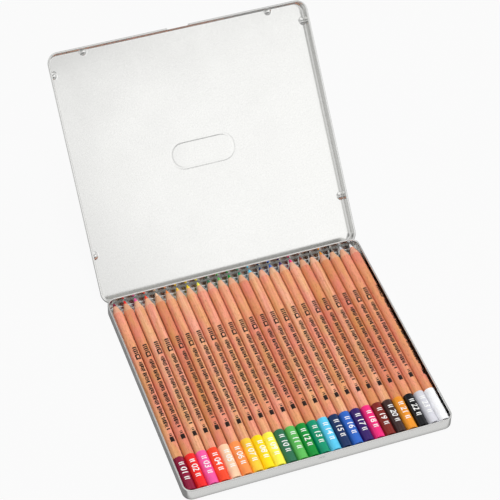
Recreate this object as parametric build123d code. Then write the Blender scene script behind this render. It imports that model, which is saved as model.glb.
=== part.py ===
# A flat hinged tin with one layer of round colour pencils, shown with its lid open.
# Everything is in millimetres. X runs along the hinge, +Y towards it, and +Z up from the table.
# The origin is on the table, under the middle of the tray.

import os
from math import atan, cos, degrees, radians, sin, sqrt

from build123d import *

os.makedirs("parts", exist_ok=True)

# Tinplate
sheet = 0.3  # thickness of the sheet
fold_radius = 1.4  # outer radius of the fold between wall and panel
curl_turn = 285.0  # how far a rolled edge turns, in degrees

# Pencils
pencil_count = 24
pencil_length = 175.0
barrel_diameter = 7.66
butt_round = 0.4  # edge radius of the barrel's blunt end
dip_thickness = 0.08
dip_length = 28.0
core_diameter = 3.2
cone_length = 11.8
point_diameter = 0.9
point_round = 0.25
pencil_slip = 0.05  # between neighbours, and between a pencil and the floor

# Tray, sized round its one layer of pencils
tray_corner = 6.4
tray_curl = 1.2  # diameter of the rim, rolled inwards
row_slip = 0.385  # between the rim and the row of pencils, on each side
tip_slip = 0.1  # between the rim and the points, which are lifted past it
corner_slip = 0.2  # between the round corners and the blunt ends of the outer pencils
rim_rise = 0.88  # how far the rim stands above the pencils
foot_width = 2.0  # flat ring that stands on the table
floor_rise = 1.2  # how far the floor panel is pressed up
floor_slope = 1.5  # width of the slope up to it
floor_corner = 4.5  # corner radius of the panel at the foot of the slope

# Detent in the middle of the front: a groove in the tray and a bead in the lid
detent_drop = 2.85  # from the tray's top edge down to the middle of the groove
groove_length = 6.0
groove_height = 1.2
groove_depth = 0.25
bead_length = 5.0
bead_height = 1.0
bead_depth = 0.15

# Lid
lid_slip = 0.2  # clearance round the tray
lid_headroom = 1.2  # clearance above the tray's rim
lid_curl = 1.6  # diameter of the rim, rolled outwards
thumb_notch = 16.0  # length of the front rim that is left out
bump_diameter = 5.8
bump_depth = 1.1
bump_inset = 1.8  # from the lid's outer face to a bump's centre
bump_spacing = 139.7  # between the two front bumps
bump_front = 13.8  # from the tray's front face back to the front pair of side bumps
bump_rear = 33.9  # from the tray's rear face forward to the rear pair of side bumps
field_width = 47.0  # frame of the embossed field in the middle
field_depth = 19.0
field_corner = 9.0
ridge_width = 1.8
ridge_height = 0.35

# Hinge
open_angle = 132.4  # from shut to resting open, in degrees
table_gap = 0.3  # under the open lid's lowest edge
hinge_spacing = 120.0  # between the two hinges
leaf_width = 8.0
leaf_seat = 0.9  # height of the leaf's seat on the tray's wall, from the fold up
leaf_step = 0.6  # height over which the leaf steps away from the wall
leaf_slip = 0.3  # clearance between a leaf and the lid's notch
wire_length = 26.0
wire_slip = 0.05  # radial clearance of the wire in the rolled edges

# The row of pencils
dip_radius = barrel_diameter / 2 + dip_thickness
dip_round = butt_round + dip_thickness
pencil_pitch = 2 * dip_radius + pencil_slip
pencil_z = sheet + floor_rise + pencil_slip + dip_radius
last_pencil_x = (pencil_count - 1) * pencil_pitch / 2
row_edge = last_pencil_x + dip_radius

# The tray round it. A blunt end's rounded edge, seen from above, touches a circle that is corner_slip
# inside the tray's round corner, which sets how far the blunt ends stay back from the front.
tray_width = 2 * (row_edge + row_slip + tray_curl)
tray_height = pencil_z + dip_radius + rim_rise
corner_across = row_edge - dip_round - (tray_width / 2 - tray_corner)
corner_reach = tray_corner - sheet - corner_slip - dip_round
butt_setback = tray_corner - dip_round - sqrt(corner_reach**2 - corner_across**2)
tray_depth = butt_setback + pencil_length + tip_slip + tray_curl
butt_y = butt_setback - tray_depth / 2

# The lid round the tray, and the hinge behind it
hinge_y = tray_depth / 2 + lid_slip + lid_curl / 2
lid_top = tray_height + lid_headroom + sheet
lid_width = tray_width + 2 * (lid_slip + sheet)
lid_depth = tray_depth + 2 * (lid_slip + sheet)
lid_corner = tray_corner + lid_slip + sheet

# The open lid's fold is its lowest edge, table_gap above the table. The fold's centre lies fold_behind in
# front of the hinge axis on the shut lid, which gives the height of the axis.
fold_behind = lid_curl / 2 - sheet + fold_radius
fold_swing = fold_behind * sin(radians(open_angle)) + (lid_top - fold_radius) * cos(radians(open_angle))
hinge_z = (table_gap + fold_radius - fold_swing) / (1 - cos(radians(open_angle)))
detent_z = tray_height - detent_drop


def rolled_edge(u, v, curl, start, turn):
    """The end of a rolled sheet round (u, v): outside arc, end line, inside arc."""
    outside = CenterArc((u, v), curl / 2, start, turn)
    inside = CenterArc((u, v), curl / 2 - sheet, start, turn)
    return [outside, Line(outside @ 1, inside @ 1), inside]


def wall_section(height, curl, side):
    """A wall that rises from a fold at the origin and ends in a rim rolled inwards (-1) or outwards (+1)."""
    wrapped = -sheet if side > 0 else 0
    covered = -sheet - wrapped
    straight_end = height - curl / 2
    roll = rolled_edge(wrapped + side * curl / 2, straight_end, curl, 90 + side * 90, -side * curl_turn)
    outer_fold = CenterArc((-fold_radius, fold_radius), fold_radius, -90, 90)
    inner_fold = CenterArc((-fold_radius, fold_radius), fold_radius - sheet, -90, 90)
    lines = [
        outer_fold,
        inner_fold,
        Line(outer_fold @ 0, inner_fold @ 0),
        Line((wrapped, fold_radius), (wrapped, straight_end)),
        Line((covered, fold_radius), (covered, straight_end)),
    ]
    return make_face(Plane.XZ * (Curve() + lines + roll))


def around(section, width, depth, corner):
    """Run a section round a rectangle with round corners. Its X is measured outwards from the outline."""
    across = width / 2 - corner
    along = depth / 2 - corner
    corners = [(across, along), (-across, along), (-across, -along), (across, -along)]
    reaches = [(width / 2, along), (depth / 2, across)]
    pieces = []
    for quarter, (corner_x, corner_y) in enumerate(corners):
        reach, run = reaches[quarter % 2]
        turned = Rot(0, 0, 90 * quarter)
        pieces.append(turned * extrude(Pos(reach, 0, 0) * section, run, both=True))
        bend = revolve(Pos(corner, 0, 0) * section, Axis.Z, 90)
        pieces.append(Pos(corner_x, corner_y, 0) * turned * bend)
    return Part() + pieces


def block(width, depth, corner, low, high):
    """A rectangular block with round corners between two heights."""
    return extrude(Pos(0, 0, low) * RectangleRounded(width, depth, corner), high - low)


def press(shell, envelope, outside, inside):
    """Press a feature into a shell: its far side is outside, its hollow is inside."""
    return shell + (outside & envelope) - inside


def cap_radius(chord, height):
    """Radius of the arc that rises by height over a chord."""
    return (chord**2 / 4 + height**2) / (2 * height)


def rod_along_x(radius, length, y, z):
    return Pos(0, y, z) * Rot(0, 90, 0) * Cylinder(radius, length)


def make_tray():
    wall = around(wall_section(tray_height, tray_curl, -1), tray_width, tray_depth, tray_corner)
    inset = 2 * fold_radius
    plate = block(tray_width - inset, tray_depth - inset, tray_corner - fold_radius, 0, sheet)
    foot = 2 * (fold_radius + foot_width)
    outline = RectangleRounded(tray_width - foot, tray_depth - foot, floor_corner)
    underside = extrude(outline, floor_rise, taper=degrees(atan(floor_slope / floor_rise)))
    tray = wall + plate + Pos(0, 0, sheet) * underside - underside
    radius = cap_radius(groove_height, groove_depth)
    axis_y = -tray_depth / 2 + groove_depth - radius
    far_side = rod_along_x(radius + sheet, groove_length + 2 * sheet, axis_y, detent_z)
    hollow = rod_along_x(radius, groove_length, axis_y, detent_z)
    envelope = block(tray_width, tray_depth, tray_corner, 0, tray_height)
    return press(tray, envelope, far_side, hollow)


def make_lid():
    """The lid, shut."""
    wall_height = lid_top - hinge_z + lid_curl / 2
    section = Pos(0, 0, lid_top) * Rot(180, 0, 0) * wall_section(wall_height, lid_curl, 1)
    inset = 2 * fold_radius
    panel = block(lid_width - inset, lid_depth - inset, lid_corner - fold_radius, lid_top - sheet, lid_top)
    lid = around(section, lid_width, lid_depth, lid_corner) + panel
    envelope = block(lid_width, lid_depth, lid_corner, hinge_z, lid_top)
    envelope = fillet(envelope.edges().group_by(Axis.Z)[-1], fold_radius)

    side_x = lid_width / 2 - bump_inset
    side_ys = [-tray_depth / 2 + bump_front, tray_depth / 2 - bump_rear]
    places = [(x, y) for x in (-side_x, side_x) for y in side_ys]
    places += [(x, -lid_depth / 2 + bump_inset) for x in (-bump_spacing / 2, bump_spacing / 2)]
    radius = cap_radius(bump_diameter, bump_depth)
    centre_z = lid_top - sheet - bump_depth + radius
    for x, y in places:
        centre = Pos(x, y, centre_z)
        lid = press(lid, envelope, centre * Sphere(radius), centre * Sphere(radius - sheet))

    radius = cap_radius(bead_height, bead_depth)
    axis_y = -tray_depth / 2 - lid_slip + bead_depth - radius
    far_side = rod_along_x(radius, bead_length, axis_y, detent_z)
    hollow = rod_along_x(radius - sheet, bead_length - 2 * sheet, axis_y, detent_z)
    lid = press(lid, envelope, far_side, hollow)

    radius = cap_radius(ridge_width, ridge_height)
    ridge = Pos(0, lid_top + ridge_height - radius)
    over_panel = Pos(0, lid_top - sheet + radius) * Rectangle(2 * radius, 2 * radius)
    far_side = Plane.XZ * (ridge * Circle(radius) & over_panel)
    hollow = Plane.XZ * (ridge * Circle(radius - sheet))
    lid = lid + around(far_side, field_width, field_depth, field_corner)
    lid = lid - around(hollow, field_width, field_depth, field_corner)

    rim = Box(thumb_notch, 2 * lid_curl, lid_curl)
    rim_y = -lid_depth / 2 - lid_curl
    lid = lid - Pos(0, rim_y, hinge_z) * rim
    notch = Box(leaf_width + 2 * leaf_slip, 2 * lid_curl, lid_curl + 2 * leaf_slip)
    for side in (-1, 1):
        lid = lid - Pos(side * hinge_spacing / 2, hinge_y, hinge_z) * notch
    return lid


def make_leaf(x):
    """A tab on the tray's rear wall that is rolled round the hinge wire. Its section's X runs away from the wall."""
    step_z = fold_radius + leaf_seat
    near = [(0, fold_radius), (0, step_z), (lid_slip, step_z + leaf_step), (lid_slip, hinge_z)]
    far = [(u + sheet, v) for u, v in near]
    roll = rolled_edge(lid_slip + lid_curl / 2, hinge_z, lid_curl, 180, -curl_turn)
    seat = Line(near[0], far[0])
    section = make_face(Curve() + [seat, Polyline(near), Polyline(far)] + roll)
    wall = Plane((x, tray_depth / 2, 0), x_dir=(0, 1, 0), z_dir=(1, 0, 0))
    return extrude(wall * section, leaf_width / 2, both=True)


def make_wire(x):
    radius = lid_curl / 2 - sheet - wire_slip
    return Pos(x, 0, 0) * rod_along_x(radius, wire_length, hinge_y, hinge_z)


def turned_piece(lines):
    """A round piece on the Z axis from the outline of its half section."""
    return revolve(make_face(Plane.XZ * (Curve() + lines)), Axis.Z)


def make_barrel():
    """The wood, upright on its blunt end, bored for the core."""
    outer = barrel_diameter / 2
    inner = core_diameter / 2
    shoulder = pencil_length - cone_length
    bore_end = pencil_length - cone_length * (inner - point_diameter / 2) / (outer - point_diameter / 2)
    edge_z = dip_thickness + butt_round
    return turned_piece([
        Line((inner, dip_thickness), (outer - butt_round, dip_thickness)),
        CenterArc((outer - butt_round, edge_z), butt_round, -90, 90),
        Line((outer, edge_z), (outer, shoulder)),
        Line((outer, shoulder), (inner, bore_end)),
        Line((inner, bore_end), (inner, dip_thickness)),
    ])


def make_lead_and_dip():
    """The core with its point, and the lacquer cup that closes the blunt end. The two meet under the cup."""
    barrel = barrel_diameter / 2
    core = core_diameter / 2
    point = point_diameter / 2
    core_end = pencil_length - cone_length * (core - point) / (barrel - point)
    lead = turned_piece([
        Line((0, dip_thickness), (core, dip_thickness)),
        Line((core, dip_thickness), (core, core_end)),
        Line((core, core_end), (point, pencil_length)),
        Line((point, pencil_length), (0, pencil_length)),
        Line((0, pencil_length), (0, dip_thickness)),
    ])
    lead = fillet(lead.edges().sort_by(Axis.Z)[-1], point_round)
    edge_x = barrel - butt_round
    edge_z = dip_thickness + butt_round
    cup = turned_piece([
        Line((0, 0), (edge_x, 0)),
        CenterArc((edge_x, edge_z), dip_round, -90, 90),
        Line((dip_radius, edge_z), (dip_radius, dip_length)),
        Line((dip_radius, dip_length), (barrel, dip_length)),
        Line((barrel, dip_length), (barrel, edge_z)),
        CenterArc((edge_x, edge_z), butt_round, -90, 90),
        Line((edge_x, dip_thickness), (0, dip_thickness)),
        Line((0, dip_thickness), (0, 0)),
    ])
    return lead + cup


def lay_down(index):
    """Place of pencil number index, counted from the left, with its point towards the hinge."""
    x = last_pencil_x - (pencil_count - index) * pencil_pitch
    return Pos(x, butt_y, pencil_z) * Rot(-90, 0, 0)


export_step(make_tray(), "parts/tray.step")

hinge_axis = Axis((0, hinge_y, hinge_z), (1, 0, 0))
export_step(make_lid().rotate(hinge_axis, -open_angle), "parts/lid.step")

for name, x in (("left", -hinge_spacing / 2), ("right", hinge_spacing / 2)):
    export_step(make_leaf(x), f"parts/hinge_leaf_{name}.step")
    export_step(make_wire(x), f"parts/hinge_wire_{name}.step")

barrel = make_barrel()
lead_and_dip = make_lead_and_dip()
for index in range(1, pencil_count + 1):
    export_step(lay_down(index) * barrel, f"parts/pencil_{index:02d}_barrel.step")
    export_step(lay_down(index) * lead_and_dip, f"parts/pencil_{index:02d}_lead_and_dip.step")

print(f"tray {tray_width:.2f} x {tray_depth:.2f} x {tray_height:.2f}, lid top at z {lid_top:.2f} when shut")
print(f"hinge axis at y {hinge_y:.4f}, z {hinge_z:.4f}")
print(f"pencils at x {-last_pencil_x:.3f} to {last_pencil_x:.3f}, z {pencil_z:.3f}, blunt ends at y {butt_y:.4f}")
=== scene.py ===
import math

import bpy
from mathutils import Matrix, Vector


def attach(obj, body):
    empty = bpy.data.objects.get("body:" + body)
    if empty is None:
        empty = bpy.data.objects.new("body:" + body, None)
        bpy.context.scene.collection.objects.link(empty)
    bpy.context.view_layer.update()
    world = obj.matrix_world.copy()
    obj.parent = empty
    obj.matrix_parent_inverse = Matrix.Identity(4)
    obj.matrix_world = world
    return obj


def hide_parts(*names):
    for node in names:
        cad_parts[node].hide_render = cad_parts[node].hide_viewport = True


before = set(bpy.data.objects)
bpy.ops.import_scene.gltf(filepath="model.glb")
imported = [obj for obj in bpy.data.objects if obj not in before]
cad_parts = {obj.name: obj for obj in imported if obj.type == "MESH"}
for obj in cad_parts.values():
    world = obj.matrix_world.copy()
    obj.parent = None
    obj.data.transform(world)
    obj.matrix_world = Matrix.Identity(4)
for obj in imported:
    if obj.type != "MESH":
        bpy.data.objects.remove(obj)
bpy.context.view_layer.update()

bpy.ops.object.select_all(action="DESELECT")
mm = 0.001

# The tray of the tin. Real one: 0.3 mm tinplate, drawn into a shallow pan with rounded corners, its floor
# pressed up inside a narrow foot and its edge rolled inwards into a thin rim. A short groove pressed into the
# front wall is the catch for the lid.
tray_width = 192.0
tray_depth = 178.9667
tray_height = 10.25
tray_corner = 6.4
sheet = 0.3
fold = 1.4
straight = 0.2  # the flat piece that follows a fold
rim_run = 0.15  # the flat piece just below a rolled rim
tray_curl = 1.2
curl_turn = 285.0
foot_width = 2.0
floor_rise = 1.2
floor_slope = 1.5
panel_margin = 5.2  # from the outline to where the flat panel begins, in the tray and in the lid
groove_z = 7.4
groove_half = 3.0
groove_reach = 0.6
groove_depth = 0.25
dent_end = 0.8  # over which a dent in the front wall fades out at its ends
same = 0.001  # places closer than this, in mm, are one place
hair = 0.01  # slack in mm where faces and vertices are picked by their place
panel_slack = 0.1  # slack in mm where the edge of the floor panel is picked


def arc(u, v, radius, start, turn, steps):
    """Points of an arc in a sheet's section, angles in degrees."""
    angles = [math.radians(start + turn * i / steps) for i in range(steps + 1)]
    return [(u + radius * math.cos(a), v + radius * math.sin(a)) for a in angles]


def pick(piece, wanted, kind="vertices"):
    """Select the vertices or faces of the piece in hand for which wanted(place in mm) is true."""
    bpy.ops.object.mode_set(mode="OBJECT")
    mesh = piece.data
    for part in [*mesh.vertices, *mesh.edges, *mesh.polygons]:
        part.select = False
    found = 0
    for part in getattr(mesh, kind):
        place = (part.co if kind == "vertices" else part.center) / mm
        if wanted(place):
            part.select = True
            found += 1
    bpy.ops.object.mode_set(mode="EDIT")
    bpy.ops.mesh.select_mode(type="VERT" if kind == "vertices" else "FACE")
    return found


def pull(step):
    """Extrude what is selected and move it by step, in metres."""
    bpy.ops.mesh.extrude_region_move(TRANSFORM_OT_translate={"value": step})


def draw_section(name, points):
    """A line of edges through points: a small plane merged to one vertex, then pulled from point to point."""
    bpy.ops.mesh.primitive_plane_add(size=mm, location=(0, 0, 0))
    piece = bpy.context.object
    piece.name = name
    bpy.ops.object.mode_set(mode="EDIT")
    bpy.ops.mesh.merge(type="CENTER")
    bpy.ops.transform.translate(value=points[0])
    for here, there in zip(points, points[1:]):
        pull([b - a for a, b in zip(here, there)])
    return piece


def sweep_round(name, section, width, depth, corner, stops_x, stops_y, steps=12):
    """Carry a section round a rectangle with round corners: one corner is spun, its ends are pulled to the
    middles of the sides in the given stops, and the quarter is mirrored twice. Section points are
    (outwards from the outline, z)."""
    across, along = width / 2 - corner, depth / 2 - corner
    piece = draw_section(name, [((width / 2 + u) * mm, along * mm, z * mm) for u, z in section])
    bpy.ops.mesh.select_all(action="SELECT")
    bpy.ops.mesh.spin(steps=steps, angle=math.radians(-90), center=(across * mm, along * mm, 0), axis=(0, 0, 1))
    pick(piece, lambda p: abs(p.x - across) < same)
    if max(v.co.y for v in piece.data.vertices) < (along + 0.5 * corner) * mm:
        raise RuntimeError(f"{name}: the corner was spun the wrong way")
    for here, there in zip([across, *stops_x], [*stops_x, 0.0]):
        pull(((there - here) * mm, 0, 0))
    pick(piece, lambda p: abs(p.y - along) < same)
    for here, there in zip([along, *stops_y], [*stops_y, 0.0]):
        pull((0, (there - here) * mm, 0))
    bpy.ops.mesh.select_all(action="SELECT")
    bpy.ops.mesh.remove_doubles(threshold=hair * mm)
    bpy.ops.object.mode_set(mode="OBJECT")
    mirror = piece.modifiers.new("other_quarters", "MIRROR")
    mirror.use_axis = (True, True, False)
    mirror.merge_threshold = hair * mm
    bpy.ops.object.modifier_apply(modifier=mirror.name)
    return piece


def leans_up(faces):
    """Whether the flat ones among the faces point up."""
    return sum(face.normal.z * face.area for face in faces) > 0


def turn_faces(piece, wrong):
    """Turn all faces the same way round, and then all to the other side if wrong(faces) is true."""
    bpy.ops.object.mode_set(mode="EDIT")
    bpy.ops.mesh.select_all(action="SELECT")
    bpy.ops.mesh.normals_make_consistent(inside=False)
    bpy.ops.object.mode_set(mode="OBJECT")
    if wrong(piece.data.polygons):
        bpy.ops.object.mode_set(mode="EDIT")
        bpy.ops.mesh.flip_normals()
        bpy.ops.object.mode_set(mode="OBJECT")


def press_dent(piece, wall_y, half, reach, depth):
    """Press a round dent into the front wall that lies at wall_y, at the height of the groove."""
    for vertex in piece.data.vertices:
        place = vertex.co / mm
        from_middle = abs(place.z - groove_z) / reach
        from_end = (half - abs(place.x)) / dent_end
        if from_middle < 1 and from_end > 0 and abs(place.y - wall_y) < hair:
            vertex.co.y += depth * mm * (1 - from_middle**2) * min(1.0, from_end)


def give_thickness(piece, thickness):
    """Give a sheet its thickness on the side away from its faces."""
    bpy.ops.object.mode_set(mode="OBJECT")
    solid = piece.modifiers.new("sheet_thickness", "SOLIDIFY")
    solid.thickness = thickness * mm
    solid.offset = -1
    solid.use_even_offset = True
    bpy.ops.object.modifier_apply(modifier=solid.name)


def take(piece):
    """Make the piece the only selected one and the active one."""
    bpy.ops.object.mode_set(mode="OBJECT")
    bpy.ops.object.select_all(action="DESELECT")
    piece.select_set(True)
    bpy.context.view_layer.objects.active = piece


def smooth(piece, angle=35):
    """Shade the piece smooth, apart from edges sharper than angle, and put it down."""
    take(piece)
    bpy.ops.object.shade_smooth_by_angle(angle=math.radians(angle))
    bpy.ops.object.select_all(action="DESELECT")


groove_rows = [groove_z + groove_reach * k / 3 for k in range(-3, 4)]
slope_foot = -fold - foot_width
tray_section = [
    (-panel_margin, floor_rise),
    (slope_foot - floor_slope, floor_rise),
    (slope_foot, 0.0),
    (-fold - straight, 0.0),
    *arc(-fold, fold, fold, -90, 90, 6),
    (0.0, fold + straight),
    *[(0.0, z) for z in groove_rows],
    (0.0, tray_height - tray_curl / 2 - rim_run),
    *arc(-tray_curl / 2, tray_height - tray_curl / 2, tray_curl / 2, 0, curl_turn, 18),
]
tray = sweep_round(
    "tin_tray", tray_section, tray_width, tray_depth, tray_corner,
    stops_x=[20.0, 3.4, 3.0, 2.6, 2.2, 1.5], stops_y=[40.0],
)
panel_half_x = tray_width / 2 - panel_margin + panel_slack
panel_half_y = tray_depth / 2 - panel_margin + panel_slack
pick(tray, lambda p: abs(p.z - floor_rise) < same and abs(p.x) < panel_half_x and abs(p.y) < panel_half_y)
bpy.ops.mesh.edge_face_add()
turn_faces(tray, leans_up)
press_dent(tray, -tray_depth / 2, groove_half, groove_reach, groove_depth)
give_thickness(tray, sheet)
smooth(tray)


def linear(code):
    """An sRGB hex colour as linear red, green, blue and full alpha."""
    parts = [int(code[i:i + 2], 16) / 255 for i in (1, 3, 5)]
    return [p / 12.92 if p <= 0.04045 else ((p + 0.055) / 1.055) ** 2.4 for p in parts] + [1.0]


def set_inputs(tree, node, inputs):
    """Give each input of a node its value, or link it to another node's output."""
    for key, value in inputs.items():
        if isinstance(value, bpy.types.NodeSocket):
            tree.links.new(value, node.inputs[key])
        else:
            node.inputs[key].default_value = value


def add_node(tree, kind, inputs=None, stops=(), **settings):
    """Add a node with its settings, the stops of its colour ramp as (place, sRGB colour), and its inputs,
    which are values or other nodes' outputs. A noise's scale is one over its features' size in metres."""
    node = tree.nodes.new(kind)
    for key, value in settings.items():
        setattr(node, key, value)
    for index, (position, code) in enumerate(stops):
        elements = node.color_ramp.elements
        stop = elements[index] if index < 2 else elements.new(position)
        stop.position = position
        stop.color = linear(code)
    set_inputs(tree, node, inputs or {})
    return node


def new_finish(name):
    """A material with its node tree, its surface node and the object coordinates, ready for its finish."""
    finish = bpy.data.materials.new(name)
    finish.use_nodes = True
    tree = finish.node_tree
    place = add_node(tree, "ShaderNodeTexCoord").outputs["Object"]
    return finish, tree, tree.nodes["Principled BSDF"], place


# Bright tinplate, cold rolled and reflowed: a satin metal that mirrors softly, with a fine rolling grain of
# about 0.6 mm, drawn coarser than the real 0.05 mm so that it shows, and slow clouds some 30 mm wide.
tinplate, tree, surface, place = new_finish("satin_tinplate")
rolled = add_node(tree, "ShaderNodeMapping", {"Vector": place, "Scale": (1.0, 0.12, 1.0)})
grain = add_node(tree, "ShaderNodeTexNoise", {
    "Vector": rolled.outputs[0], "Scale": 1600.0, "Detail": 3.0, "Roughness": 0.6})
clouds = add_node(tree, "ShaderNodeTexNoise", {"Vector": place, "Scale": 33.0, "Detail": 2.0, "Roughness": 0.5})
shade = add_node(tree, "ShaderNodeValToRGB", {"Fac": grain.outputs["Fac"]},
                 stops=[(0.3, "#DADAD8"), (0.7, "#E4E4E2")])
dullness = add_node(tree, "ShaderNodeMapRange", {
    "Value": clouds.outputs["Fac"], "From Min": 0.3, "From Max": 0.7, "To Min": 0.14, "To Max": 0.17})
relief = add_node(tree, "ShaderNodeBump", {
    "Height": grain.outputs["Fac"], "Strength": 0.04, "Distance": 0.04 * mm})
set_inputs(tree, surface, {
    "Base Color": shade.outputs["Color"], "Roughness": dullness.outputs["Result"],
    "Normal": relief.outputs["Normal"], "Metallic": 1.0,
})

tray.data.materials.append(tinplate)
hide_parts("tray")
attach(tray, "tray")

# The two hinges. Real ones: a tab of the tray's rear wall rolled round a short steel wire, which also runs
# through the rolled edge of the lid on both sides of the tab.
hinge_y = 90.4833
hinge_z = 4.3457
hinge_spacing = 120.0
lid_curl = 1.6
lid_slip = 0.2  # by which the closed lid's walls clear the tray's
leaf_width = 8.0
leaf_foot = 0.05
leaf_seat = 0.9
leaf_step = 0.6
wire_radius = 0.45
wire_length = 26.0
wire_edge = 0.12


def new_piece(name):
    """Name the object just made, move its place into its mesh and keep it in hand."""
    piece = bpy.context.object
    piece.name = name
    take(piece)
    bpy.ops.object.transform_apply(location=True, rotation=True, scale=True)
    return piece


# Drawn steel wire with a thin bright coat: darker and a little sharper than the tinplate, with faint
# drawing lines about 0.2 mm wide along it.
steel_wire, tree, surface, place = new_finish("drawn_steel_wire")
along = add_node(tree, "ShaderNodeMapping", {"Vector": place, "Scale": (0.05, 1.0, 1.0)})
lines = add_node(tree, "ShaderNodeTexNoise", {"Vector": along.outputs[0], "Scale": 6000.0, "Detail": 2.0})
shade = add_node(tree, "ShaderNodeValToRGB", {"Fac": lines.outputs["Fac"]},
                 stops=[(0.0, "#8E9092"), (1.0, "#B4B6B8")])
set_inputs(tree, surface, {"Base Color": shade.outputs["Color"], "Metallic": 1.0, "Roughness": 0.26})

leaf_section = [
    (0.0, fold + leaf_foot),
    (0.0, fold + leaf_seat),
    (lid_slip, fold + leaf_seat + leaf_step),
    (lid_slip, hinge_z - rim_run),
    *arc(lid_slip + lid_curl / 2, hinge_z, lid_curl / 2, 180, -curl_turn, 18),
]
for side, x in (("left", -hinge_spacing / 2), ("right", hinge_spacing / 2)):
    leaf_edge = [((x - leaf_width / 2) * mm, (tray_depth / 2 + u) * mm, z * mm) for u, z in leaf_section]
    leaf = draw_section(f"hinge_{side}_tab", leaf_edge)
    bpy.ops.mesh.select_all(action="SELECT")
    pull((leaf_width * mm, 0, 0))
    turn_faces(leaf, lambda faces: min(faces, key=lambda face: face.center.z).normal.y > 0)
    give_thickness(leaf, sheet)
    smooth(leaf)
    leaf.data.materials.append(tinplate)
    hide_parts(f"hinge_leaf_{side}")
    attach(leaf, "tray")

    bpy.ops.mesh.primitive_cylinder_add(
        vertices=24, radius=wire_radius * mm, depth=wire_length * mm,
        location=(x * mm, hinge_y * mm, hinge_z * mm), rotation=(0, math.radians(90), 0),
    )
    wire = new_piece(f"hinge_{side}_wire")
    rounded = wire.modifiers.new("rounded_ends", "BEVEL")
    rounded.width = wire_edge * mm
    rounded.segments = 2
    rounded.limit_method = "ANGLE"
    bpy.ops.object.modifier_apply(modifier=rounded.name)
    smooth(wire)
    wire.data.materials.append(steel_wire)
    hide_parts(f"hinge_wire_{side}")
    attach(wire, "tray")

# The lid. Real one: the same tinplate, drawn a little larger than the tray so that it closes over it. Its
# edge is rolled outwards, left out at the front for a thumb and at the back for the two tabs. Six domes near
# the edges hold it off the pencils, and a low raised frame in the middle stiffens the panel.
lid_top = 11.75
lid_width = 193.0
lid_depth = 179.9667
lid_corner = 6.9
open_angle = 132.4
thumb_notch = 16.0
thumb_notch_top = 5.2
thumb_notch_out = 0.02  # it takes only what stands out further than this from the outline
leaf_notch = 8.6
leaf_notch_top = 5.4457
leaf_notch_in = 0.5  # it takes the wall too, to this far inside the outline
field_width = 47.0
field_depth = 19.0
field_corner = 9.0
ridge_half = 1.5
ridge_height = 0.07
bead_half = 2.5
bead_reach = 0.5
bead_depth = 0.15
dome_reach = 2.9
dome_depth = 1.1
dome_inset = 1.8
dome_spacing = 139.7
dome_front = 13.8
dome_rear = 33.9
dome_grid = 0.42  # between the cuts that make the panel fine enough for a dome
dome_rows = 7
dome_patch = 3.3  # the cuts reach this far from its middle
dome_cut = 3.2  # the two long cuts beside it lie this far from its middle
walls_below = 9.0  # above this lie the panel and the fold round it
inner_z = lid_top - sheet
dome_radius = (dome_reach**2 + dome_depth**2) / (2 * dome_depth)

bead_rows = [groove_z + bead_reach * k / 2 for k in range(2, -3, -1)]
lid_section = [
    (-panel_margin, inner_z),
    (-fold - straight, inner_z),
    *arc(-fold, lid_top - fold, fold - sheet, 90, -90, 6),
    (-sheet, lid_top - fold - straight),
    *[(-sheet, z) for z in bead_rows],
    (-sheet, leaf_notch_top),
    (-sheet, hinge_z + straight),
    *arc(lid_curl / 2 - sheet, hinge_z, lid_curl / 2, 180, curl_turn, 20),
]
lid = sweep_round(
    "tin_lid", lid_section, lid_width, lid_depth, lid_corner,
    stops_x=[64.3, 55.7, 20.0, 8.0, 3.0, 2.5, 2.0, 1.5], stops_y=[40.0],
)

ridge_section = [
    (ridge_half * k / 6, inner_z + ridge_height * (1 + math.cos(math.pi * k / 6)) / 2) for k in range(-6, 7)
]
ridge = sweep_round(
    "ridge", ridge_section, field_width, field_depth, field_corner, stops_x=[9.0], stops_y=[], steps=8,
)


def on_loop(place, width, depth, corner, offset):
    """Whether a place lies on an outline with round corners, moved outwards by offset."""
    beyond_x = abs(place.x) - (width / 2 - corner)
    beyond_y = abs(place.y) - (depth / 2 - corner)
    if beyond_x > 0 and beyond_y > 0:
        return abs(math.hypot(beyond_x, beyond_y) - corner - offset) < hair
    return abs(max(beyond_x, beyond_y) - corner - offset) < hair


pick(ridge, lambda p: (
    abs(p.z - inner_z) < same and on_loop(p, field_width, field_depth, field_corner, -ridge_half)))
bpy.ops.mesh.edge_face_add()
take(ridge)
lid.select_set(True)
bpy.context.view_layer.objects.active = lid
bpy.ops.object.join()

pick(lid, lambda p: abs(p.z - inner_z) < same and (
    on_loop(p, lid_width, lid_depth, lid_corner, -panel_margin)
    or on_loop(p, field_width, field_depth, field_corner, ridge_half)))
bpy.ops.mesh.select_mode(type="EDGE")
bpy.ops.mesh.bridge_edge_loops()
bpy.ops.mesh.select_mode(type="VERT")


def in_notch(place):
    """Whether a place lies where the rolled edge is left out for the thumb or for a tab."""
    at_front = abs(place.x) < thumb_notch / 2 and place.y < -lid_depth / 2 - thumb_notch_out
    at_tab = abs(abs(place.x) - hinge_spacing / 2) < leaf_notch / 2 and place.y > lid_depth / 2 - leaf_notch_in
    return (at_front and place.z < thumb_notch_top) or (at_tab and place.z < leaf_notch_top)


pick(lid, in_notch, "polygons")
bpy.ops.mesh.delete(type="FACE")
turn_faces(lid, leans_up)


def near_dome(place, x, y):
    """Whether a place lies on the panel near the middle of a dome."""
    return abs(place.x - x) < dome_patch and abs(place.y - y) < dome_patch and place.z > walls_below


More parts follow.
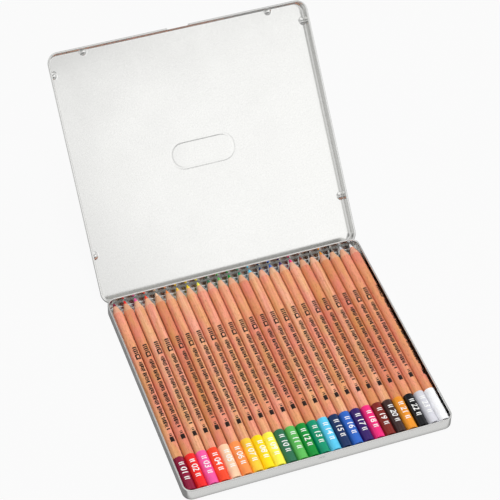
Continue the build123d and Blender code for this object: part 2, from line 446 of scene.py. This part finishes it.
# each dome with the direction of the edge that it lies at
domes = [(x, y, (0, 1, 0)) for x in (-lid_width / 2 + dome_inset, lid_width / 2 - dome_inset)
         for y in (-tray_depth / 2 + dome_front, tray_depth / 2 - dome_rear)]
domes += [(x, -lid_depth / 2 + dome_inset, (1, 0, 0)) for x in (-dome_spacing / 2, dome_spacing / 2)]
for dome_x, dome_y, edge_run in domes:
    for offset in (-dome_cut, dome_cut):
        bpy.ops.object.mode_set(mode="EDIT")
        bpy.ops.mesh.select_all(action="SELECT")
        bpy.ops.mesh.bisect(plane_co=((dome_x + offset) * mm, (dome_y + offset) * mm, 0), plane_no=edge_run)
    for normal in ((1, 0, 0), (0, 1, 0)):
        for k in range(-dome_rows, dome_rows + 1):
            if pick(lid, lambda p: near_dome(p, dome_x, dome_y), "polygons"):
                cut_at = ((dome_x + dome_grid * k) * mm, (dome_y + dome_grid * k) * mm, 0)
                bpy.ops.mesh.bisect(plane_co=cut_at, plane_no=normal)
    bpy.ops.object.mode_set(mode="OBJECT")
    middle_z = inner_z - dome_depth + dome_radius
    for vertex in lid.data.vertices:
        place = vertex.co / mm
        off = math.hypot(place.x - dome_x, place.y - dome_y)
        if off < dome_reach + hair and place.z > walls_below:
            vertex.co.z = min(vertex.co.z, (middle_z - math.sqrt(dome_radius**2 - off**2)) * mm)
press_dent(lid, sheet - lid_depth / 2, bead_half, bead_reach, bead_depth)
give_thickness(lid, sheet)
smooth(lid)
hinge = Matrix.Translation((0, hinge_y * mm, hinge_z * mm))
lid.data.transform(hinge @ Matrix.Rotation(math.radians(-open_angle), 4, "X") @ hinge.inverted())
lid.data.materials.append(tinplate)
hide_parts("lid")
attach(lid, "lid")

# The wood of the pencils. Real one: two grooved cedar slats glued round the core, turned to a round barrel,
# rubbed smooth with a thin clear wax, and sharpened by a blade that leaves fresh, paler wood on the cone.
pencil_count = 24
pencil_length = 175.0
barrel_radius = 3.83
wood_radius = barrel_radius - 0.1  # slimmer than the solid, so that the dark gaps between barrels show
pitch = 7.87
last_x = 90.505
butt_y = -86.8167
pencil_z = 5.46
cone_length = 11.8
point_radius = 0.45
core_radius = 1.6
bore_depth = 3.0  # how far the open end of the bore is modelled
cut_edge = 0.15
dip_thickness = 0.08
dip_radius = barrel_radius + dip_thickness
dip_length = 28.0
fresh_share = 0.45  # how far the cone's colour goes towards that of fresh wood
bore_end = pencil_length - cone_length * (core_radius - point_radius) / (barrel_radius - point_radius)
shoulder = pencil_length - cone_length


def upright_barrel(name, radius, bottom, top):
    """A cylinder that stands on the origin's axis between two heights in mm."""
    bpy.ops.mesh.primitive_cylinder_add(
        vertices=48, radius=radius * mm, depth=(top - bottom) * mm,
        location=(0, 0, (top + bottom) / 2 * mm), end_fill_type="NGON",
    )
    return new_piece(name)


def round_edges(piece, wanted, width, segments):
    """Round the edges between the vertices for which wanted(place in mm) is true."""
    pick(piece, wanted)
    bpy.ops.mesh.select_mode(type="EDGE")
    bpy.ops.mesh.bevel(offset=width * mm, segments=segments, affect="EDGES")


wood = upright_barrel("pencil_wood", wood_radius, dip_thickness, shoulder)
pick(wood, lambda p: p.z > shoulder - hair, "polygons")
pull((0, 0, (bore_end - shoulder) * mm))
bpy.ops.transform.resize(value=(core_radius / wood_radius, core_radius / wood_radius, 1))
pull((0, 0, -bore_depth * mm))
round_edges(wood, lambda p: p.z < dip_thickness + hair or abs(p.z - shoulder) < hair, cut_edge, segments=2)
smooth(wood, 30)

# Wood: two-tone cedar. Every pencil is cut from another plank, so its tone and streaks differ. Growth rings
# about 1.4 mm apart run along the barrel, with patches of straw and pink about 8 mm wide and short darker
# pores of 0.4 mm between them.
cedar, tree, surface, place = new_finish("waxed_cedar")
axes = add_node(tree, "ShaderNodeSeparateXYZ", {"Vector": place}).outputs
row = add_node(tree, "ShaderNodeMath", {
    0: axes["X"], 1: 1000.0 / pitch, 2: pencil_count / 2}, operation="MULTIPLY_ADD")
whole = add_node(tree, "ShaderNodeMath", {0: row.outputs[0]}, operation="FLOOR")
plank = add_node(tree, "ShaderNodeTexWhiteNoise", {"W": whole.outputs[0]}, noise_dimensions="1D").outputs
shift = add_node(tree, "ShaderNodeVectorMath", {0: place, 1: plank["Color"]}, operation="ADD").outputs[0]
drawn_out = add_node(tree, "ShaderNodeMapping", {"Vector": shift, "Scale": (1.0, 0.035, 1.0)})
rings = add_node(tree, "ShaderNodeTexNoise", {
    "Vector": drawn_out.outputs[0], "Scale": 700.0, "Detail": 3.0, "Roughness": 0.55, "Distortion": 0.3})
streams = add_node(tree, "ShaderNodeMapping", {"Vector": shift, "Scale": (1.0, 0.3, 1.0)})
blotches = add_node(tree, "ShaderNodeTexNoise", {"Vector": streams.outputs[0], "Scale": 130.0, "Detail": 2.0})
shortened = add_node(tree, "ShaderNodeMapping", {"Vector": shift, "Scale": (1.0, 0.14, 1.0)})
pores = add_node(tree, "ShaderNodeTexNoise", {
    "Vector": shortened.outputs[0], "Scale": 2400.0, "Detail": 2.0, "Roughness": 0.5})
tone = add_node(tree, "ShaderNodeValToRGB", {"Fac": plank["Value"]},
                stops=[(0.0, "#C97345"), (1.0, "#F8C3A0"), (0.5, "#EFA57E")])
patch = add_node(tree, "ShaderNodeValToRGB", {"Fac": blotches.outputs["Fac"]},
                 stops=[(0.36, "#DEA86D"), (0.64, "#EA9085")])
ring_mask = add_node(tree, "ShaderNodeMapRange", {
    "Value": rings.outputs["Fac"], "From Min": 0.42, "From Max": 0.64, "To Min": 0.0, "To Max": 0.62})
pore_mask = add_node(tree, "ShaderNodeMapRange", {
    "Value": pores.outputs["Fac"], "From Min": 0.57, "From Max": 0.7, "To Min": 0.0, "To Max": 0.5})
cut = add_node(tree, "ShaderNodeMath", {0: axes["Y"], 1: (butt_y + shoulder) * mm}, operation="GREATER_THAN")
fresh = add_node(tree, "ShaderNodeMath", {0: cut.outputs[0], 1: fresh_share}, operation="MULTIPLY")
wooden = tone.outputs["Color"]
for amount, over in (
    (ring_mask.outputs["Result"], linear("#B35729")), (0.5, patch.outputs["Color"]),
    (pore_mask.outputs["Result"], linear("#8D4724")), (fresh.outputs[0], linear("#E1BC9F")),
):
    wooden = add_node(tree, "ShaderNodeMix", {0: amount, 6: wooden, 7: over}, data_type="RGBA").outputs[2]
wax = add_node(tree, "ShaderNodeMapRange", {
    "Value": cut.outputs[0], "From Min": 0.0, "From Max": 1.0, "To Min": 0.42, "To Max": 0.68})
relief = add_node(tree, "ShaderNodeBump", {
    "Height": rings.outputs["Fac"], "Strength": 0.25, "Distance": 0.05 * mm})
set_inputs(tree, surface, {
    "Base Color": wooden, "Roughness": wax.outputs["Result"], "Normal": relief.outputs["Normal"],
    "IOR": 1.5, "Specular IOR Level": 0.3,
})

# The core and the dip. Real ones: a cast stick of pigment and wax with a cut point, and at the blunt end a
# coat of glossy lacquer in the same colour, into which the end of the pencil is dipped.
point_edge = 0.25
core_share = 0.99  # of the bore's width, so that the core clears it
core_gap = 0.1  # between the core's hidden end and the end of the bore
dip_edge = 0.48
wall_share = 0.98  # of the dip's thickness, so that its wall clears the wood
bpy.ops.mesh.primitive_cone_add(
    vertices=32, radius1=core_radius * mm, radius2=point_radius * mm, depth=(pencil_length - bore_end) * mm,
    location=(0, 0, (pencil_length + bore_end) / 2 * mm), end_fill_type="NGON",
)
core = new_piece("pencil_core")
round_edges(core, lambda p: p.z > pencil_length - hair, point_edge, segments=3)
pick(core, lambda p: p.z < bore_end + hair, "polygons")
bpy.ops.transform.resize(value=(core_share, core_share, 1))
pull((0, 0, (core_gap - bore_depth) * mm))
smooth(core, 30)

dip = upright_barrel("pencil_dip", dip_radius, 0.0, dip_length)
pick(dip, lambda p: p.z > dip_length - hair, "polygons")
bpy.ops.mesh.inset(thickness=dip_thickness * mm * wall_share)
pull((0, 0, -(dip_length - dip_thickness) * mm))
round_edges(dip, lambda p: p.z < hair, dip_edge, segments=4)
smooth(dip, 40)

pencil_colours = [
    ("maroon", "#881638"), ("red", "#EE2A28"), ("pink", "#F45CA4"), ("scarlet", "#FA4A2C"),
    ("peach", "#FACEAA"), ("orange", "#FA9450"), ("golden_yellow", "#FCCC3C"), ("yellow", "#FDDC14"),
    ("lemon", "#FEF450"), ("dark_green", "#2B6E4E"), ("light_green", "#5CB857"), ("green", "#0C8E34"),
    ("teal", "#06906A"), ("sky_blue", "#5CCCF2"), ("navy", "#162E5A"), ("blue", "#2E66C4"),
    ("violet", "#341A64"), ("hot_pink", "#F02A7C"), ("red_brown", "#7C261E"), ("dark_brown", "#3C2826"),
    ("ochre", "#EE962C"), ("black", "#08090C"), ("silver_grey", "#CFCFD6"), ("white", "#F4F4F6"),
]

# The prints. Real ones: thin foil stamped on with heat, dark on the wood and white on the lacquer. Here the
# wood carries a plain row of bars and the dip a plain number between two pairs of bars.
film = 0.02
print_start = 42.0  # y at which the print on the wood begins, running towards the blunt end
print_lift = 0.003  # from the wood to the middle of the film
print_lead = 11  # degrees by which the print lies further round than the number
print_roll_most = 48
print_lean = 0.25
slice_step = 0.5  # between the cuts that let a print bend
number_y = -71.0
number_size = 6.2
number_weight = 0.09
number_lift = 0.013

# White foil: flat and opaque, a little greyer in spots of about 0.7 mm where it took less well.
stamp_white, tree, surface, place = new_finish("stamped_white_foil")
cover = add_node(tree, "ShaderNodeTexNoise", {"Vector": place, "Scale": 1500.0, "Detail": 2.0})
shade = add_node(tree, "ShaderNodeValToRGB", {"Fac": cover.outputs["Fac"]},
                 stops=[(0.25, "#D8D6D4"), (0.5, "#F2F2F0")])
set_inputs(tree, surface, {"Base Color": shade.outputs["Color"], "Roughness": 0.4})

# Dark foil: nearly black, a little shiny, browner where the grain shows through in spots of about 0.6 mm.
stamp_dark, tree, surface, place = new_finish("stamped_dark_foil")
cover = add_node(tree, "ShaderNodeTexNoise", {"Vector": place, "Scale": 1800.0, "Detail": 2.0})
shade = add_node(tree, "ShaderNodeValToRGB", {"Fac": cover.outputs["Fac"]},
                 stops=[(0.35, "#0C0605"), (0.75, "#26150E")])
set_inputs(tree, surface, {
    "Base Color": shade.outputs["Color"], "Roughness": 0.5, "Specular IOR Level": 0.25,
})


def wrap(mesh, radius, start_y, roll):
    """Lay a flat print round a barrel: its x runs towards the blunt end, its y round the barrel."""
    for vertex in mesh.vertices:
        angle = roll + vertex.co.y / radius
        reach = radius + vertex.co.z
        vertex.co = (reach * math.sin(angle), start_y - vertex.co.x, reach * math.cos(angle))


def slice_for_wrap(cuts):
    """Cut the print in hand along its length, in the middle and cuts times on both sides of it."""
    bpy.ops.object.mode_set(mode="EDIT")
    for k in range(-cuts, cuts + 1):
        bpy.ops.mesh.select_all(action="SELECT")
        bpy.ops.mesh.bisect(plane_co=(0, k * slice_step * mm, 0), plane_no=(0, 1, 0))
    bpy.ops.object.mode_set(mode="OBJECT")


def flat_bars(name, bars):
    """Bars of a print as one flat mesh with the film's thickness, each (start, end, low, high) in mm."""
    made = []
    for start, end, low, high in bars:
        middle = ((start + end) / 2 * mm, (low + high) / 2 * mm, film / 2 * mm)
        bpy.ops.mesh.primitive_plane_add(size=1, location=middle)
        bar = bpy.context.object
        bar.scale = ((end - start) * mm, (high - low) * mm, 1)
        made.append(bar)
    for bar in made:
        bar.select_set(True)
    bpy.context.view_layer.objects.active = made[0]
    bpy.ops.object.join()
    piece = new_piece(name)
    slice_for_wrap(3)
    give_thickness(piece, film)
    return piece


def copy_of(pattern, name):
    """A copy of a pattern piece with a mesh of its own."""
    piece = pattern.copy()
    piece.data = pattern.data.copy()
    piece.name = name
    bpy.context.scene.collection.objects.link(piece)
    return piece


def number_stamp(name, number):
    """A plain two-figure number between two pairs of bars, flat, with the film's thickness."""
    bpy.ops.object.text_add(location=(0, 0, 0))
    text = bpy.context.object.data
    text.body = f"{number:02d}"
    text.size = number_size * mm
    text.offset = number_weight * mm
    text.align_x = "CENTER"
    text.align_y = "CENTER"
    text.resolution_u = 4
    text.extrude = film / 2 * mm
    bpy.ops.object.convert(target="MESH")
    piece = bpy.context.object
    piece.name = name
    copy_of(stamp_bars, "beside_number").select_set(True)
    bpy.ops.object.join()
    slice_for_wrap(5)
    return piece


# the same line of marks on every barrel: a block of leaning bars, a long row of short dashes, and a tab
print_bars = [(0.0, 1.3, -1.7, 1.7), (1.9, 2.9, -1.7, 1.7), (3.5, 4.8, -1.7, 1.7), (5.4, 6.4, -1.7, 1.7)]
print_bars += [(7.0, 8.2, -1.9, 1.9), (8.2, 10.6, 0.9, 1.9), (8.2, 10.6, -1.9, -0.9), (10.6, 11.8, -1.9, 1.9)]
dash_lengths = [0.9, 1.4, 0.9, 0.6, 1.2, 0.9, 1.4, 0.6, 0.9, 1.2]
dashes_start, dashes_end = 14.5, 76.0
tall, short = 1.6, 1.1
dash_gap, word_gap = 0.32, 1.4
at = dashes_start
index = 0
while at < dashes_end:
    length = dash_lengths[(index * 7) % 10]
    print_bars.append((at, at + length, -tall if index % 3 else -short, tall if index % 4 else short))
    at += length + (word_gap if index % 7 == 6 else dash_gap)
    index += 1
print_bars += [(80.6, 81.2, -1.0, 1.0), (81.8, 82.8, -1.0, 1.0), (83.4, 87.6, -1.6, 1.6)]
bars_flat = flat_bars("print_bars", print_bars)
for vertex in bars_flat.data.vertices:
    vertex.co.x -= print_lean * vertex.co.y
stamp_bars = flat_bars("stamp_bars", [(at, at + 0.75, -1.8, 1.8) for at in (-7.3, -5.8, 5.05, 6.55)])

# The row of pencils. Real ones: they lie loose side by side in one layer, blunt ends to the front, each in
# its own colour and rolled a few degrees this way or that, the last one furthest.
roll_angles = [3, -2, 4, 1, 5, -1, 2, 6, 0, 3, 5, -2, 4, 2, 1, 3, 0, 4, 2, 5, 1, 3, 2, 48]
for number, ((colour, code), roll) in enumerate(zip(pencil_colours, roll_angles), 1):
    body = f"pencil_{number:02d}"
    x = last_x - (pencil_count - number) * pitch
    down = Matrix.Translation((x * mm, butt_y * mm, pencil_z * mm)) @ Matrix.Rotation(math.radians(-90), 4, "X")
    along_row = Matrix.Translation((x * mm, 0, pencil_z * mm))

    barrel = copy_of(wood, f"{body}_wood")
    barrel.data.transform(down)
    barrel.data.materials.append(cedar)
    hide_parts(f"{body}_barrel")
    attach(barrel, body)

    # Lacquer dip: a smooth coat with a soft gloss, a faint orange peel about 1.5 mm wide and a depth of
    # colour that changes over some 7 mm.
    lacquer, tree, surface, place = new_finish(f"dipped_lacquer_{colour}")
    peel = add_node(tree, "ShaderNodeTexNoise", {"Vector": place, "Scale": 650.0, "Detail": 1.0})
    depth = add_node(tree, "ShaderNodeTexNoise", {"Vector": place, "Scale": 150.0, "Detail": 2.0})
    tint = add_node(tree, "ShaderNodeMapRange", {
        "Value": depth.outputs["Fac"], "From Min": 0.3, "From Max": 0.7, "To Min": 0.93, "To Max": 1.05})
    coat = add_node(tree, "ShaderNodeHueSaturation", {"Color": linear(code), "Value": tint.outputs["Result"]})
    relief = add_node(tree, "ShaderNodeBump", {
        "Height": peel.outputs["Fac"], "Strength": 0.08, "Distance": 0.05 * mm})
    set_inputs(tree, surface, {
        "Base Color": coat.outputs["Color"], "Normal": relief.outputs["Normal"],
        "Roughness": 0.22, "IOR": 1.5, "Specular IOR Level": 0.28,
    })

    # Pigment core: matte and waxy, with fine specks of 0.5 mm where the blade tore it.
    pigment, tree, surface, place = new_finish(f"pigment_core_{colour}")
    specks = add_node(tree, "ShaderNodeTexNoise", {"Vector": place, "Scale": 2200.0, "Detail": 3.0})
    tint = add_node(tree, "ShaderNodeMapRange", {
        "Value": specks.outputs["Fac"], "From Min": 0.3, "From Max": 0.7, "To Min": 0.8, "To Max": 1.1})
    stick = add_node(tree, "ShaderNodeHueSaturation", {"Color": linear(code), "Value": tint.outputs["Result"]})
    relief = add_node(tree, "ShaderNodeBump", {
        "Height": specks.outputs["Fac"], "Strength": 0.4, "Distance": 0.06 * mm})
    set_inputs(tree, surface, {
        "Base Color": stick.outputs["Color"], "Normal": relief.outputs["Normal"], "Roughness": 0.55,
    })

    lead = copy_of(core, f"{body}_core")
    lead.data.transform(down)
    lead.data.materials.append(pigment)
    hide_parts(f"{body}_lead_and_dip")
    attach(lead, body)

    cup = copy_of(dip, f"{body}_dip")
    cup.data.transform(down)
    cup.data.materials.append(lacquer)
    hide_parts(f"{body}_lead_and_dip")
    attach(cup, body)

    marks = copy_of(bars_flat, f"{body}_print")
    print_roll = math.radians(min(roll + print_lead, print_roll_most))
    wrap(marks.data, (wood_radius + print_lift) * mm, print_start * mm, print_roll)
    marks.data.transform(along_row)
    marks.data.materials.append(stamp_dark)
    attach(marks, body)

    stamp = number_stamp(f"{body}_number", number)
    wrap(stamp.data, (dip_radius + number_lift) * mm, number_y * mm, math.radians(roll))
    stamp.data.transform(along_row)
    stamp.data.materials.append(stamp_white)
    bpy.ops.object.select_all(action="DESELECT")
    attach(stamp, body)

for pattern in (wood, core, dip, bars_flat, stamp_bars):
    bpy.data.objects.remove(pattern)

# The table: a plain pale floor, wide enough for every view. In what tin and lacquer mirror the floor also
# glows, painted light that is stronger in front of the tray and behind the lid than at the sides, like lamps
# there.
floor_size = 12.0
floor_white = 0.94
bpy.ops.mesh.primitive_plane_add(size=floor_size, location=(0, 0, 0))
floor = bpy.context.object
floor.name = "floor"
paper, tree, surface, place = new_finish("pale_paper")
set_inputs(tree, surface, {"Base Color": linear("#949494"), "Roughness": 0.9, "Specular IOR Level": 0.2})
path = add_node(tree, "ShaderNodeLightPath").outputs
glow = add_node(tree, "ShaderNodeEmission", {"Color": (1, 1, 1, 1), "Strength": 1.0})
mirrored = add_node(tree, "ShaderNodeMath", {0: path["Is Glossy Ray"], 1: path["Is Transmission Ray"]})
place_y = add_node(tree, "ShaderNodeSeparateXYZ", {"Vector": place}).outputs["Y"]
# painted light: white glow of the floor that only mirrored rays see, strongest just in front of the tray,
# weaker far off, and again behind the lid
in_front = add_node(tree, "ShaderNodeMapRange", {
    "Value": place_y, "From Min": -0.092, "From Max": -0.0885, "To Min": 0.75, "To Max": 0.0})
far_off = add_node(tree, "ShaderNodeMapRange", {
    "Value": place_y, "From Min": -0.3, "From Max": -0.12, "To Min": 0.4, "To Max": 1.0})
at_the_back = add_node(tree, "ShaderNodeMapRange", {
    "Value": place_y, "From Min": 0.1, "From Max": 0.2, "To Min": 0.0, "To Max": 0.5})
painted_floor_glow = add_node(tree, "ShaderNodeMath", {
    0: in_front.outputs["Result"], 1: far_off.outputs["Result"], 2: at_the_back.outputs["Result"],
}, operation="MULTIPLY_ADD")
in_metal = add_node(tree, "ShaderNodeMath", {
    0: mirrored.outputs[0], 1: painted_floor_glow.outputs[0]}, operation="MULTIPLY")
share = add_node(tree, "ShaderNodeMath", {
    0: path["Is Camera Ray"], 1: floor_white, 2: in_metal.outputs[0]}, operation="MULTIPLY_ADD")
seen = add_node(tree, "ShaderNodeMixShader", {0: share.outputs[0], 1: surface.outputs[0], 2: glow.outputs[0]})
set_inputs(tree, tree.nodes["Material Output"], {"Surface": seen.outputs[0]})
floor.data.materials.append(paper)

# The light: a strip lamp above and a soft lamp from the right, which nothing mirrors, and two soft panels in
# front, which the open lid mirrors. The room is pale, and tin and lacquer mirror it darker in front than
# behind, at the sides and overhead, which gives the dark bands along the walls and the light rims.
room_level = 0.12  # the light from all round on the object
world = bpy.data.worlds.new("room")
bpy.context.scene.world = world
world.use_nodes = True
tree = world.node_tree
path = add_node(tree, "ShaderNodeLightPath").outputs
mirrored = add_node(tree, "ShaderNodeMath", {0: path["Is Glossy Ray"], 1: path["Is Transmission Ray"]})
direction = add_node(tree, "ShaderNodeTexCoord").outputs["Generated"]
axes = add_node(tree, "ShaderNodeSeparateXYZ", {"Vector": direction}).outputs
sideways = add_node(tree, "ShaderNodeMath", {0: axes["X"]}, operation="ABSOLUTE")
beside = add_node(tree, "ShaderNodeMapRange", {
    "Value": sideways.outputs[0], "From Min": 0.36, "From Max": 0.7, "To Min": 0.0, "To Max": 0.6})
behind = add_node(tree, "ShaderNodeMapRange", {
    "Value": axes["Y"], "From Min": -0.2, "From Max": 0.3, "To Min": 0.15, "To Max": 0.3})
overhead = add_node(tree, "ShaderNodeMapRange", {
    "Value": axes["Z"], "From Min": 0.8, "From Max": 0.93, "To Min": 0.0, "To Max": 0.9})
level_round = add_node(tree, "ShaderNodeMath", {0: beside.outputs["Result"], 1: behind.outputs["Result"]})
in_metal = add_node(tree, "ShaderNodeMath", {0: level_round.outputs[0], 1: overhead.outputs["Result"]})
off_camera = add_node(tree, "ShaderNodeMath", {
    0: mirrored.outputs[0], 1: in_metal.outputs[0], 2: room_level}, operation="MULTIPLY_ADD")
level = add_node(tree, "ShaderNodeMath", {
    0: path["Is Camera Ray"], 1: 1 - room_level, 2: off_camera.outputs[0]}, operation="MULTIPLY_ADD")
set_inputs(tree, tree.nodes["Background"], {"Color": (1, 1, 1, 1), "Strength": level.outputs[0]})


def direction_of(azimuth, elevation):
    """The direction from the object towards the front, turned right by azimuth and up by elevation."""
    a, e = math.radians(azimuth), math.radians(elevation)
    return Vector((math.sin(a) * math.cos(e), -math.cos(a) * math.cos(e), math.sin(e)))


def soft_lamp(name, target, azimuth, elevation, distance, width, height, radiance, seen_in_metal=True):
    """A rectangular lamp that faces target. Its radiance is what a mirror would show."""
    away = direction_of(azimuth, elevation)
    lamp = bpy.data.lights.new(name, "AREA")
    lamp.shape = "RECTANGLE"
    lamp.size = width
    lamp.size_y = height
    lamp.energy = radiance * math.pi * width * height
    holder = bpy.data.objects.new(name, lamp)
    bpy.context.scene.collection.objects.link(holder)
    holder.location = Vector(target) + away * distance
    holder.visible_camera = False
    holder.visible_glossy = seen_in_metal
    holder.rotation_mode = "QUATERNION"
    holder.rotation_quaternion = (-away).to_track_quat("-Z", "Y")


soft_lamp("key_lamp", (-0.12, -0.05, 0), azimuth=0, elevation=90, distance=1.5,
          width=0.4, height=1.1, radiance=12.2, seen_in_metal=False)
soft_lamp("right_lamp", (0, 0, 0), azimuth=95, elevation=46, distance=2.0,
          width=0.8, height=1.0, radiance=5.8, seen_in_metal=False)
soft_lamp("front_panel", (0, 0.15, 0.07), azimuth=8, elevation=34.5, distance=4.0,
          width=5.2, height=1.6, radiance=0.68)
soft_lamp("front_right_panel", (0, 0.15, 0.07), azimuth=34, elevation=34.5, distance=4.0,
          width=2.6, height=1.6, radiance=0.36)

# The camera, where the photograph was taken from: its direction, aim, distance, roll and focal length were
# fitted to edge points of the tin.
image_width = 500
focal_pixels = 1956.8
sensor = 36.0
aim = (21.18, 111.30, 0)
distance = 1439.8
roll = math.radians(1.40)
away = direction_of(azimuth=-20.75, elevation=46.58)
place = (Vector(aim) + away * distance) * mm
right = (-away).cross(Vector((0, 0, 1))).normalized()
up = right.cross(-away)
right, up = right * math.cos(roll) + up * math.sin(roll), up * math.cos(roll) - right * math.sin(roll)
camera = bpy.data.objects.new("camera", bpy.data.cameras.new("camera"))
bpy.context.scene.collection.objects.link(camera)
camera.matrix_world = Matrix((
    (right.x, up.x, away.x, place.x), (right.y, up.y, away.y, place.y), (right.z, up.z, away.z, place.z),
    (0, 0, 0, 1),
))
camera.data.sensor_width = sensor
camera.data.lens = focal_pixels / image_width * sensor
camera.data.clip_start = 0.05
camera.data.clip_end = 50.0
bpy.context.scene.camera = camera
bpy.context.scene.view_settings.view_transform = "Standard"
